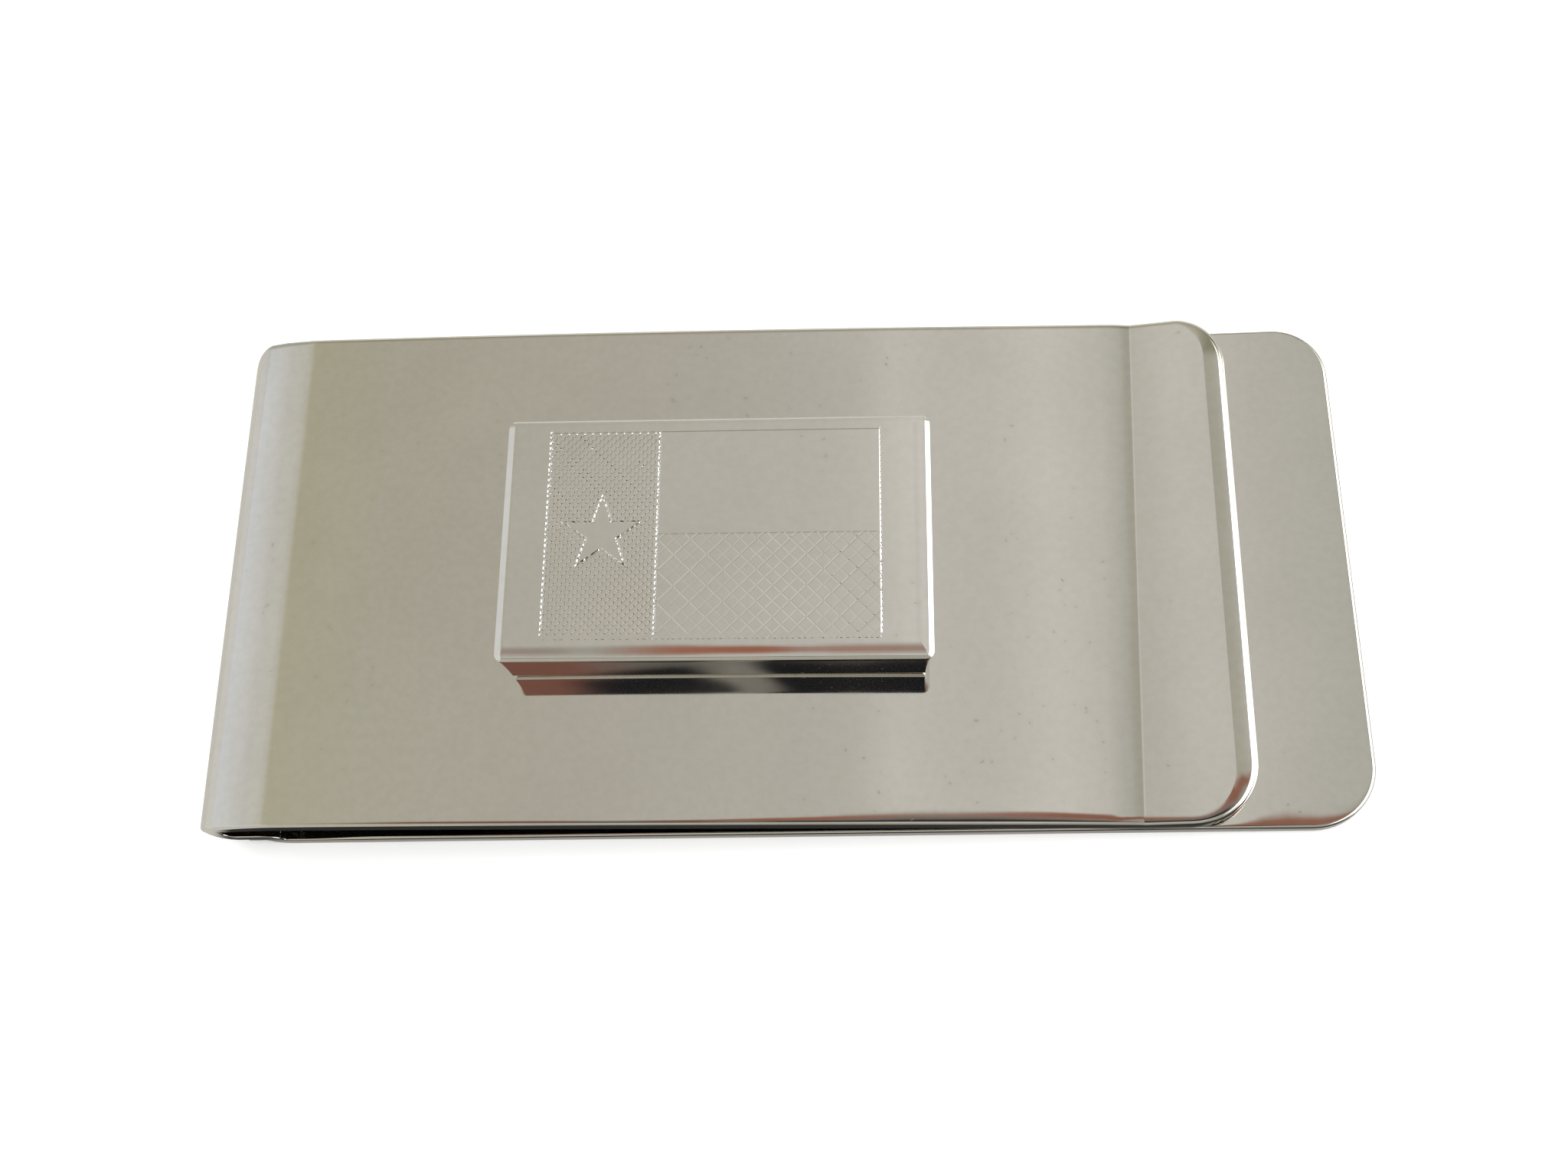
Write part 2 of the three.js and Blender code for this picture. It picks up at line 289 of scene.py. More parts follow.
def clamp_path():
    """The outer face from the seam, round the bulb and along the clamp leaf to the lip."""
    path = Path(SEAM_X, STEP_RISE, math.pi)
    path.bend(SEAM_X - FOLD_X - BULB_RADIUS, math.pi)
    path.bend(BULB_RADIUS * (math.pi - SHOULDER_STEEP), SHOULDER_STEEP)
    crown_x = path.rows[-1][1]
    turn = SHOULDER_STEEP - SHOULDER_SHALLOW
    radius = (HINGE_X - crown_x) / (math.sin(SHOULDER_STEEP) - math.sin(SHOULDER_SHALLOW))
    path.bend(radius * turn - HINGE_ROUNDING / 2, SHOULDER_SHALLOW)
    span = CREASE_START[0] - HINGE_X
    chord = (CREASE_START[1] - HINGE_Z) / span
    leaf_start = math.atan(chord + 4 * LEAF_ARCH / span)
    leaf_end = math.atan(chord - 4 * LEAF_ARCH / span)
    path.bend(HINGE_ROUNDING, leaf_start)
    leaf_length = math.hypot(span, CREASE_START[1] - HINGE_Z)
    path.bend(leaf_length - HINGE_ROUNDING / 2 - CREASE_LEAD, leaf_end)
    path.bend(CREASE_LEAD, leaf_end + CREASE_LEAD_TURN)
    path.bend(CREASE_END[0] - CREASE_START[0], CREASE_STEEP)
    path.bend(CREASE_ROUNDING, LIP_FLARE)
    return path.bend((LIP_END_X - path.rows[-1][1]) / math.cos(LIP_FLARE), LIP_FLARE)


def crease_skew(x, y):
    """How far the askew crease moves a point of the clamp leaf, along X and Y."""
    start, end = CREASE_START[0], CREASE_END[0]
    stations = [start - CREASE_SKEW_REACH, start, end, end + CREASE_SKEW_REACH]
    return np.stack([np.interp(x, stations, [0, *CREASE_SKEWS, 0]) * y, 0 * x], 1)


def base_taper(x, y):
    """How far a point of the base leaf moves: its far side draws in toward the free end."""
    share = np.interp(x, [FOLD_X, BASE_END_X], [0, 1]) * (y + HALF_WIDTH) / (2 * HALF_WIDTH)
    return np.stack([0 * x, -BASE_TAPER * share], 1)


# ---- A leaf: its outline, its edge, its skin ----


def face_rings(blend, roll, first, second, radius):
    """Rings from the flat of a face to its cut edge: inset, depth and lean.

    The inset is measured from the cut edge, the depth from the face, and the lean is how far the
    surface has turned away from the face."""
    first, second = math.radians(first), math.radians(second)
    rings = [(0.0, 0.0, 0.0)]

    def go(width, start, stop, steps):
        for i in range(steps):
            a, b = (start + (stop - start) * k / steps for k in (i, i + 1))
            out, depth, _ = rings[-1]
            rings.append((out + width / steps, depth + width / steps * math.tan((a + b) / 2), b))

    go(blend, 0.0, first, BLEND_STEPS)
    go(roll, first, second, ROLL_STEPS)
    out, depth, _ = rings[-1]
    for i in range(1, ROUND_STEPS + 1):
        lean = second + (math.pi / 2 - second) * i / ROUND_STEPS
        rings.append((
            out + radius * (math.sin(lean) - math.sin(second)),
            depth + radius * (math.cos(second) - math.cos(lean)), lean,
        ))
    reach = rings[-1][0]
    return [(reach - out, depth, lean) for out, depth, lean in rings]


def edge_rings(outer, inner):
    """The rings from the outer face's flat, round the cut edge, to the inner face's flat."""
    back = [(inset, SHEET - depth, math.pi - lean) for inset, depth, lean in face_rings(*inner)]
    return face_rings(*outer) + back[::-1]


def between(a, b, share):
    return tuple(x + (y - x) * share for x, y in zip(a, b))


def ease(share):
    return share * share * (3 - 2 * share)


def leaf_outline(path, end_x, skew, radii, narrowing):
    """The outline of a leaf, from the seam along the near side, round the free end and back.

    Rows are run, y, the outward normal along run and y, and how far the edge has turned from the
    side to the free end. Also gives the number of rows on each side, corners included."""
    lean = math.atan2(skew, 2 * HALF_WIDTH)
    near_radius, far_radius = radii
    near_reach = near_radius * math.tan((math.pi / 2 + lean) / 2)
    far_reach = far_radius * math.tan((math.pi / 2 - lean) / 2)
    total = path.rows[-1][0] - (path.rows[-1][1] - end_x)
    near_end = total + near_reach - near_radius
    far_end = near_end - skew
    straight_end = min(near_end - near_reach, far_end - far_reach) - CORNER_CLEARANCE
    straight = [row[0] for row in path.rows if row[0] < straight_end]
    near, far = [], []
    for run in straight:
        near_inset, far_inset = narrowing(run)
        near.append((run, -HALF_WIDTH + near_inset, 0.0, -1.0, 0.0))
        far.append((run, HALF_WIDTH - far_inset, 0.0, 1.0, 0.0))
    for side, middle_run, radius, start, stop, rows in (
        (-1, near_end - near_reach, near_radius, -math.pi / 2, lean, near),
        (1, far_end - far_reach, far_radius, math.pi / 2, lean, far),
    ):
        for i in range(CORNER_STEPS + 1):
            share = i / CORNER_STEPS
            angle = start + (stop - start) * share
            out = (math.cos(angle), math.sin(angle))
            y = side * (HALF_WIDTH - radius) + radius * out[1]
            rows.append((middle_run + radius * out[0], y, *out, ease(share)))
    a, b = np.array(near[-1]), np.array(far[-1])
    end = [tuple(a + (b - a) * i / LEAF_COLUMNS) for i in range(1, LEAF_COLUMNS)]
    return np.array(near + end + far[::-1]), len(near)


def make_leaf(name, path, end_x, skew, radii, side, narrowing, shift, edge):
    """A closed body of the sheet: side is 1 where the outer face is to the left of the path."""
    columns = LEAF_COLUMNS
    outline, count = leaf_outline(path, end_x, skew, radii, narrowing)
    total = len(outline)
    across_x = path.at(outline[:, 0])[0]
    rings = np.array([edge_rings(*edge(x, row[1], row[4])) for x, row in zip(across_x, outline)])
    ring_count = rings.shape[1]

    def place(run, y, depth, lean, out_run, out_y):
        x, z, heading = path.at(run)
        across = np.stack([-np.sin(heading) * side, np.zeros_like(x), np.cos(heading) * side], 1)
        along = np.stack([np.cos(heading), np.zeros_like(x), np.sin(heading)], 1)
        spot = np.stack([x, y, z], 1) - across * depth[:, None]
        spot[:, :2] += shift(x, y)
        outward = along * out_run[:, None] + np.array([0, 1, 0]) * out_y[:, None]
        normal = across * np.cos(lean)[:, None] + outward * np.sin(lean)[:, None]
        return spot, normal / np.linalg.norm(normal, axis=1)[:, None]

    points, normals = [], []
    for k in range(ring_count):
        inset, depth, lean = rings[:, k].T
        spot, normal = place(
            outline[:, 0] - inset * outline[:, 2], outline[:, 1] - inset * outline[:, 3],
            depth, lean, outline[:, 2], outline[:, 3],
        )
        points.append(spot)
        normals.append(normal)
    faces = []
    for k in range(ring_count - 1):
        for i in range(total - 1):
            a = k * total + i
            faces.append((a, a + total, a + 1 + total, a + 1))

    def grid(ring):
        """Fills the flat inside a ring, and gives the indices of its rows."""
        inset, depth, lean = rings[:, ring].T
        run = outline[:, 0] - inset * outline[:, 2]
        y = outline[:, 1] - inset * outline[:, 3]
        rows = []
        for i in range(count):
            j = total - 1 - i
            if i == count - 1:
                rows.append([ring * total + count - 1 + c for c in range(columns + 1)])
                continue
            share = np.arange(1, columns) / columns
            zero = np.zeros(columns - 1)
            spot, normal = place(
                run[i] + (run[j] - run[i]) * share, y[i] + (y[j] - y[i]) * share,
                zero + depth[i], zero + lean[i], zero, zero,
            )
            first = sum(len(p) for p in points)
            points.append(spot)
            normals.append(normal)
            rows.append([ring * total + i, *range(first, first + columns - 1), ring * total + j])
        for upper, lower in zip(rows[:-1], rows[1:]):
            for c in range(columns):
                quad = (upper[c], lower[c], lower[c + 1], upper[c + 1])
                faces.append(quad if ring == 0 else quad[::-1])
        return rows

    outer_rows = grid(0)
    inner_rows = grid(ring_count - 1)
    near_edge = [k * total for k in range(ring_count)]
    far_edge = [k * total + total - 1 for k in range(ring_count)]
    cap = near_edge + inner_rows[0][1:-1] + far_edge[::-1] + outer_rows[0][1:-1][::-1]
    faces.append(tuple(cap[::-1]))
    points = np.concatenate(points)
    normals = np.concatenate(normals)
    if enclosed_volume(points, faces) < 0:
        faces = [face[::-1] for face in faces]
    heading = path.rows[0][3]
    cap_normal = np.array([-math.cos(heading), 0, -math.sin(heading)])
    corners = [normals[v] for face in faces[:-1] for v in face] + [cap_normal] * len(cap)
    return make_mesh(name, points, faces, corners)


def clamp_edge(x, y, turned):
    """The clamp leaf's edges: its near side is the most worn, its lip is bevelled."""
    worn = ease(max(0.0, 1 - abs(x - WORN_MIDDLE) / WORN_REACH))
    side = between(EDGE_NEAR, EDGE_NEAR_WORN, worn) if y < 0 else EDGE_FAR
    return between(side, EDGE_LIP, turned), EDGE_INSIDE


def base_edge(x, y, turned):
    """The base leaf's edges: crisp, except toward its near corner."""
    past_lip = min(max((x - LIP_END_X + BASE_WORN_LEAD) / BASE_EDGE_FADE, 0.0), 1.0)
    worn = ease(past_lip) * (1 - turned) if y < 0 else 0.0
    crisp = ease(min(max((STEP_END_X + BASE_CRISP_PAST - x) / BASE_EDGE_FADE, 0.0), 1.0))
    side = between(between(EDGE_BASE, EDGE_BASE_CORNER, worn), EDGE_INSIDE, crisp)
    return EDGE_INSIDE, between(side, EDGE_BASE_END, turned)


def no_narrowing(run):
    return 0.0, 0.0


def bulb_narrowing(path):
    """The far corner of the bulb is rounded, so the strip is narrower there."""

    def narrowing(run):
        from_tip = float(path.at(run)[0]) - FOLD_X
        if from_tip >= BULB_CORNER:
            return 0.0, 0.0
        inset = BULB_CORNER - math.sqrt(BULB_CORNER**2 - (BULB_CORNER - from_tip) ** 2)
        return BULB_NEAR_SHARE * inset, inset

    return narrowing


# ---- Plaque ----


def plaque_rings(side):
    """Rings down one side of the plaque: inset, height above its underside, and lean."""
    undercut = END_UNDERCUT if side in ("left", "right") else SIDE_UNDERCUT
    lean_to = math.radians(BEVEL_LEAN[side])
    tilt = math.radians(FACE_TILT[side])
    rolled, bevel = FACE_ROLL[side], BEVELS[side]
    rings = []
    inset = bevel + rolled
    height = PLAQUE_HEIGHT
    step = rolled / (len(FACE_LEANS) - 1)
    for i, share in enumerate(FACE_LEANS):
        if i > 0:
            inset -= step
            height -= step * math.tan(tilt * (share + FACE_LEANS[i - 1]) / 2)
        rings.append((inset, height, tilt * share))
    tilt *= FACE_LEANS[-1]
    flat = bevel - BEVEL_ROUND * (1 - math.sin(tilt))
    inset = bevel

    def turn(low_lean, high_lean, steps):
        nonlocal inset, height
        for i in range(1, steps + 1):
            a = low_lean + (high_lean - low_lean) * (i - 1) / steps
            b = low_lean + (high_lean - low_lean) * i / steps
            inset -= BEVEL_ROUND * (math.sin(b) - math.sin(a))
            height -= BEVEL_ROUND * (math.cos(a) - math.cos(b))
            rings.append((inset, height, b))

    turn(tilt, lean_to, 3)
    inset -= flat
    height -= flat * math.tan(lean_to)
    rings.append((inset, height, lean_to))
    turn(lean_to, math.pi / 2, 4)
    rings = [(r[0] - inset, r[1], r[2]) for r in rings]
    wall_height = height - FOOT_RADIUS
    for i in range(1, WALL_STEPS + 1):
        share = 1 - i / WALL_STEPS
        wall = undercut * math.cos(math.pi / 2 * share)
        slope = undercut * math.pi / 2 * math.sin(math.pi / 2 * share) / wall_height
        rings.append((wall, FOOT_RADIUS + wall_height * share, math.pi / 2 + math.atan(slope)))
    for i in range(1, FOOT_STEPS + 1):
        angle = math.pi / 2 * i / FOOT_STEPS
        wall = undercut + FOOT_RADIUS * (1 - math.cos(angle))
        rings.append((wall, FOOT_RADIUS * (1 - math.sin(angle)), math.pi / 2 + angle))
    return rings


def plaque_outline():
    """Points round the plaque: corner signs, angle on the corner's arc."""
    points = []
    for sx, sy, start in ((1, -1, -90), (1, 1, 0), (-1, 1, 90), (-1, -1, 180)):
        for i in range(PLAQUE_CORNER_STEPS + 1):
            points.append((sx, sy, math.radians(start + 90 * i / PLAQUE_CORNER_STEPS)))
    return points


def plaque_side_points():
    """The plaque's rings from its face's margin down to its underside, and their normals."""
    rings = {side: plaque_rings(side) for side in BEVELS}
    outline = plaque_outline()
    ring_count = len(rings["left"])
    points, normals = [], []
    for k in range(ring_count):
        for sx, sy, angle in outline:
            along, across = ("left" if sx < 0 else "right"), ("near" if sy < 0 else "far")
            share = math.cos(angle) ** 2
            dx, dy = rings[along][k][0], rings[across][k][0]
            height = rings[along][k][1] * share + rings[across][k][1] * (1 - share)
            lean = rings[along][k][2] * share + rings[across][k][2] * (1 - share)
            x = PLAQUE_LENGTH / 2 - PLAQUE_CORNER - max(dx - PLAQUE_CORNER, 0)
            y = PLAQUE_WIDTH / 2 - PLAQUE_CORNER - max(dy - PLAQUE_CORNER, 0)
            x = sx * x + max(PLAQUE_CORNER - dx, 0) * math.cos(angle)
            y = sy * y + max(PLAQUE_CORNER - dy, 0) * math.sin(angle)
            points.append((x, y, height))
            level = math.sin(lean)
            normals.append((math.cos(angle) * level, math.sin(angle) * level, math.cos(lean)))
    return points, normals, ring_count, len(outline)


class Stroke:
    """A straight V-shaped groove. Its depth can rise and fall in beads along it."""

    def __init__(self, start, stop, half_width, depth, bead=0.0, pitted=False):
        self.start, self.stop = np.array(start, float), np.array(stop, float)
        self.half_width, self.depth, self.bead, self.pitted = half_width, depth, bead, pitted
        self.length = float(np.linalg.norm(self.stop - self.start))

    def depths(self, spots):
        along = (self.stop - self.start) / self.length
        run = np.clip((spots - self.start) @ along, 0, self.length)
        distance = np.linalg.norm(spots - self.start - run[:, None] * along, axis=1)
        wave = 0.5 - 0.5 * np.cos(2 * math.pi * run / BEAD_PITCH)
        return self.depth * (1 - self.bead * wave) * np.maximum(1 - distance / self.half_width, 0)

    def edges(self):
        """The groove's bottom and its two rims, as segments."""
        along = (self.stop - self.start) / self.length
        across = np.array([-along[1], along[0]]) * self.half_width
        pieces = max(1, round(self.length / BEAD_PITCH * BEAD_CUTS)) if self.bead else 1
        cuts = [self.start + (self.stop - self.start) * i / pieces for i in range(pieces + 1)]
        pairs = list(zip(cuts[:-1], cuts[1:]))
        return [(a + across * k, b + across * k) for k in (-1, 0, 1) for a, b in pairs]


def star_corners(middle):
    corners = []
    for i in range(2 * STAR_POINTS):
        radius = STAR_RADIUS * (1 if i % 2 == 0 else STAR_WAIST)
        angle = math.pi / 2 + math.pi * i / STAR_POINTS
        corners.append((middle[0] + radius * math.cos(angle), middle[1] + radius * math.sin(angle)))
    return corners


def cross(a, b):
    return a[0] * b[1] - a[1] * b[0]


def cuts_with(start, stop, corners):
    """Where a segment passes the sides of a polygon, as shares of its length."""
    start, along = np.array(start), np.subtract(stop, start)
    shares = []
    for i, corner in enumerate(corners):
        side = np.subtract(corners[(i + 1) % len(corners)], corner)
        across = cross(along, side)
        if abs(across) > 1e-12:
            share = cross(np.subtract(corner, start), side) / across
            on_side = cross(np.subtract(corner, start), along) / across
            if 0 <= on_side <= 1:
                shares.append(share)
    return sorted(shares)


def inside(spot, corners):
    """Whether a spot is in a polygon: a long line from it, tipped a little to miss the corners,
    crosses the sides an odd number of times."""
    crossings = cuts_with(spot, (spot[0] + 1000.0, spot[1] + 0.017), corners)
    return sum(1 for share in crossings if share > 0) % 2 == 1


def hatch(low, high, pitch, depth, turn, hole=None, faint_every=0, pitted=False):
    """Parallel grooves across a rectangle, at 45 degrees, left out of the hole."""
    corners = [(low[0], low[1]), (high[0], low[1]), (high[0], high[1]), (low[0], high[1])]
    reach = (high[0] - low[0]) + (high[1] - low[1])
    origin = np.array([low[0], low[1] if turn > 0 else high[1]])
    strokes = []
    count = int(reach / pitch)
    for i in range(count + 1):
        offset = (i + 0.5) * pitch - (high[1] - low[1])
        start = origin + np.array([offset, 0.0])
        stop = start + np.array([reach, turn * reach])
        shares = cuts_with(start, stop, corners)
        if len(shares) < 2 or (shares[-1] - shares[0]) * reach < pitch / 2:
            continue
        bounds = [shares[0], shares[-1]]
        if hole:
            gaps = [s for s in cuts_with(start, stop, hole) if bounds[0] < s < bounds[1]]
            bounds = sorted(bounds + gaps)
        cut = depth * (HATCH_FAINT if faint_every and i % faint_every else 1.0)
        for a, b in zip(bounds[:-1], bounds[1:]):
            from_spot, to_spot = start + (stop - start) * a, start + (stop - start) * b
            if hole and inside((from_spot + to_spot) / 2, hole):
                continue
            if np.linalg.norm(to_spot - from_spot) > SHORTEST_HATCH:
                strokes.append(Stroke(from_spot, to_spot, HATCH_HALF_WIDTH, cut, 0.0, pitted))
    return strokes


def engraving():
    """Every groove on the plaque's face."""
    x0, x1 = PANEL_MIDDLE[0] - PANEL_LENGTH / 2, PANEL_MIDDLE[0] + PANEL_LENGTH / 2
    y0, y1 = PANEL_MIDDLE[1] - PANEL_WIDTH / 2, PANEL_MIDDLE[1] + PANEL_WIDTH / 2
    band_x = x0 + PANEL_LENGTH * BAND_SHARE
    star = star_corners(((x0 + band_x) / 2, PANEL_MIDDLE[1]))
    corners = [(x0, y0), (x1, y0), (x1, y1), (x0, y1)]
    lines = [(corners[i], corners[(i + 1) % 4]) for i in (0, 1, 3)]
    lines += [(star[i], star[(i + 1) % len(star)]) for i in range(len(star))]
    lines.append(((band_x, y0), (band_x, y1)))
    strokes = [Stroke(a, b, LINE_HALF_WIDTH, LINE_DEPTH, BEAD_SHARE) for a, b in lines]
    divider = ((band_x, PANEL_MIDDLE[1]), (x1, PANEL_MIDDLE[1]))
    for a, b in ((corners[2], corners[3]), divider):
        strokes.append(Stroke(a, b, LINE_HALF_WIDTH, FAINT_LINE_DEPTH))
    for turn in (-1, 1):
        strokes += hatch(
            (x0, y0), (band_x, y1), BAND_HATCH_PITCH, BAND_HATCH_DEPTHS[turn], turn,
            hole=star, pitted=True,
        )
        strokes += hatch(
            (band_x, y0), divider[1], FIELD_HATCH_PITCH, FIELD_HATCH_DEPTH, turn, faint_every=2,
        )
    return strokes


def engraved_face(loop):
    """Triangles over the flat inside a loop, with the grooves cut into them."""
    strokes = engraving()
    spots = [tuple(p) for p in loop]
    edges = [(i, (i + 1) % len(loop)) for i in range(len(loop))]
    for stroke in strokes:
        for a, b in stroke.edges():
            edges.append((len(spots), len(spots) + 1))
            spots += [tuple(a), tuple(b)]
    # 1: the triangles inside the edges.
    found = geometry.delaunay_2d_cdt([Vector(s) for s in spots], edges, [], 1, 1e-4)
    verts = np.array([tuple(v) for v in found[0]])
    depth = np.zeros(len(verts))
    crossings = np.zeros(len(verts), int)
    for stroke in strokes:
        cut = stroke.depths(verts)
        crossings += (cut > PIT_REACH * stroke.depth) & stroke.pitted
        depth = np.maximum(depth, cut)
    pits = (crossings > 1) & (depth < PIT_DEPTH)
    far_share = 0.5 + (verts[:, 1] - PANEL_MIDDLE[1]) / PANEL_WIDTH
    depth[pits] = (PIT_DEPTH * (PIT_NEAR_SHARE + PIT_WEAR * far_share))[pits]
    return verts, depth, [tuple(f) for f in found[2]]


def plaque_body():
    """The plaque round its own middle: points, side normals, faces, and how many are on the sides.

    The side faces come first, then the underside and last the engraved face's triangles."""
    points, normals, ring_count, count = plaque_side_points()
    loop = []
    for x, y, _ in points[:count]:
        if not loop or math.dist(loop[-1], (x, y)) > 1e-6:
            loop.append((x, y))
    if math.dist(loop[0], loop[-1]) < 1e-6:
        loop.pop()
    verts, depth, top_faces = engraved_face(loop)
    faces = []
    for k in range(ring_count - 1):
        for i in range(count):
            a, b = k * count + i, k * count + (i + 1) % count
            faces.append((a, b, b + count, a + count)[::-1])
    side_count = len(faces)
    faces.append(tuple(range((ring_count - 1) * count, ring_count * count))[::-1])
    first = len(points)
    for f in top_faces:
        a, b, c = (verts[v] for v in f)
        turn = cross(b - a, c - a)
        faces.append(tuple(first + v for v in (f if turn > 0 else f[::-1])))
    points = np.array(points + [(x, y, PLAQUE_HEIGHT - d) for (x, y), d in zip(verts, depth)])
    return points, normals, faces, side_count


def make_plaque(path):
    """The plaque, welded into one closed mesh and set on the clamp leaf."""
    points, normals, faces, side_count = plaque_body()
    keys, remap, kept = {}, [], []
    for p in points:
        key = tuple(np.round(p, 5))
        if key not in keys:
            keys[key] = len(kept)
            kept.append(p)
        remap.append(keys[key])
    kept = np.array(kept)
    welded, corner_normals = [], []
    for index, face in enumerate(faces):
        ids, own = [], []
        for v in face:
            if remap[v] not in ids:
                ids.append(remap[v])
                own.append(v)
        if len(ids) < 3:
            continue
        if index < side_count:
            vectors = [normals[v] for v in own]
        elif index == side_count:
            vectors = [np.array([0, 0, -1.0])] * len(ids)
        else:
            a, b, c = (kept[v] for v in ids)
            n = np.cross(b - a, c - a)
            size = np.linalg.norm(n)
            vectors = [n / size if size > 1e-12 else np.array([0, 0, 1.0])] * len(ids)
        welded.append(tuple(ids))
        corner_normals += vectors
    if enclosed_volume(kept, welded) < 0:
        raise ValueError("the plaque is inside out")
    x, z, heading = (float(v) for v in path.at(path.run_at_x(PLAQUE_X, after=PAST_FOLD)))
    turn = np.array([
        [math.cos(heading), 0, -math.sin(heading)],
        [0, 1, 0],
        [math.sin(heading), 0, math.cos(heading)],
    ])
    kept = (kept + np.array([0, 0, BOND_THICKNESS])) @ turn.T + np.array([x, PLAQUE_Y, z])
    corner_normals = np.array(corner_normals) @ turn.T
    return make_mesh("engraved_plaque", kept, welded, corner_normals)


# ---- Materials ----


class Nodes:
    """Short names for building a node tree."""

    def __init__(self, tree):
        self.tree = tree
        tree.nodes.clear()

    def add(self, kind, inputs=None, **settings):
        node = self.tree.nodes.new(kind)
        for key, value in settings.items():
            setattr(node, key, value)
        for key, value in (inputs or {}).items():
            self.feed(node.inputs[key], value)
        return node

    def feed(self, socket, value):
        if isinstance(value, bpy.types.NodeSocket):
            self.tree.links.new(value, socket)
        else:
            socket.default_value = value

    def math(self, operation, a, b=0.0):
        return self.add("ShaderNodeMath", {0: a, 1: b}, operation=operation).outputs[0]

    def share(self, value, low, high):
        """0 at low, 1 at high, and evenly between them."""
        inputs = {"Value": value, "From Min": low, "From Max": high}
        return self.add("ShaderNodeMapRange", inputs).outputs["Result"]

    def step(self, value, low, high, to_low=0.0, to_high=1.0):
        """Goes smoothly from to_low to to_high as value goes from low to high."""
        inputs = {
            "Value": value, "From Min": low, "From Max": high, "To Min": to_low, "To Max": to_high,
        }
        node = self.add("ShaderNodeMapRange", inputs, interpolation_type="SMOOTHSTEP")
        return node.outputs["Result"]

    def mix(self, factor, a, b, blend="MIX"):
        """Mixes two colours. The node's colour sockets are inputs 6 and 7 and output 2."""
        node = self.add("ShaderNodeMix", data_type="RGBA", blend_type=blend)
        self.feed(node.inputs["Factor"], factor)
        self.feed(node.inputs[6], self.rgba(a))
        self.feed(node.inputs[7], self.rgba(b))
        return node.outputs[2]

    @staticmethod
    def rgba(colour):
        return colour if isinstance(colour, bpy.types.NodeSocket) else (*colour, 1.0)

    def noise(self, where, scale, detail=2.0, distortion=0.0):
        inputs = {"Vector": where, "Scale": scale, "Detail": detail, "Distortion": distortion}
        return self.add("ShaderNodeTexNoise", inputs).outputs["Fac"]

    def ramp(self, factor, stops):
        """A colour ramp through (position, colour) stops."""
        node = self.add("ShaderNodeValToRGB", {"Fac": factor})
        elements = node.color_ramp.elements
        while len(elements) < len(stops):
            elements.new(0.5)
        for element, (position, colour) in zip(elements, stops):
            element.position = position
            element.color = self.rgba(colour)
        return node.outputs["Color"]

    def spot(self):
        """Where a point is in the object's own metres."""
        return self.add("ShaderNodeTexCoord").outputs["Object"]

    def surface(self, shader, kind="Material"):
        output = self.add("ShaderNodeOutput" + kind)
        self.feed(output.inputs["Surface"], shader.outputs[0])


def new_material(name):
    material = bpy.data.materials.new(name)
    material.use_nodes = True
    return material, Nodes(material.node_tree)


# The plating. Noise scales are per metre, and a range is where the noise starts and stops counting.
PLATE = (0.80, 0.775, 0.725)
PLAQUE_PLATE = (0.855, 0.835, 0.80)
CLOUD_SCALE, CLOUD_RANGE, CLOUD_SHADE = 160.0, (0.35, 0.65), 0.965
MOTTLE_SCALE, MOTTLE_RANGE, MOTTLE_TINT = 2600.0, (0.3, 0.7), (0.96, 0.965, 0.95)
SPECK_SCALE, SPECK_RANGE, SPECK_TINT = 2600.0, (0.72, 0.78), (0.42, 0.39, 0.33)
SPECK_PATCH_SCALE, SPECK_PATCH_RANGE = 110.0, (0.5, 0.6)
SPECK_STRENGTH, SPECK_ROUGHNESS = 0.3, 0.25
SMEAR_SCALE, SMEAR_RANGE, SMEAR_DISTORTION = 90.0, (0.3, 0.75), 1.5
POLISH_ROUGHNESS = (0.045, 0.1)
RIPPLE_SCALE, RIPPLE_HEIGHT_M = 420.0, 0.0000012

# The bond
BOND_TONES = ((0.30, 0.28, 0.23), (0.46, 0.43, 0.36))
BOND_TONE_SCALE = 700.0
BUBBLE_SCALE, BUBBLE_RANGE, BUBBLE_TINT = 5200.0, (0.62, 0.7), (0.62, 0.6, 0.55)
BUBBLE_STRENGTH, BUBBLE_HEIGHT_M = 0.5, 0.00002
BOND_ROUGHNESS = (0.25, 0.45)


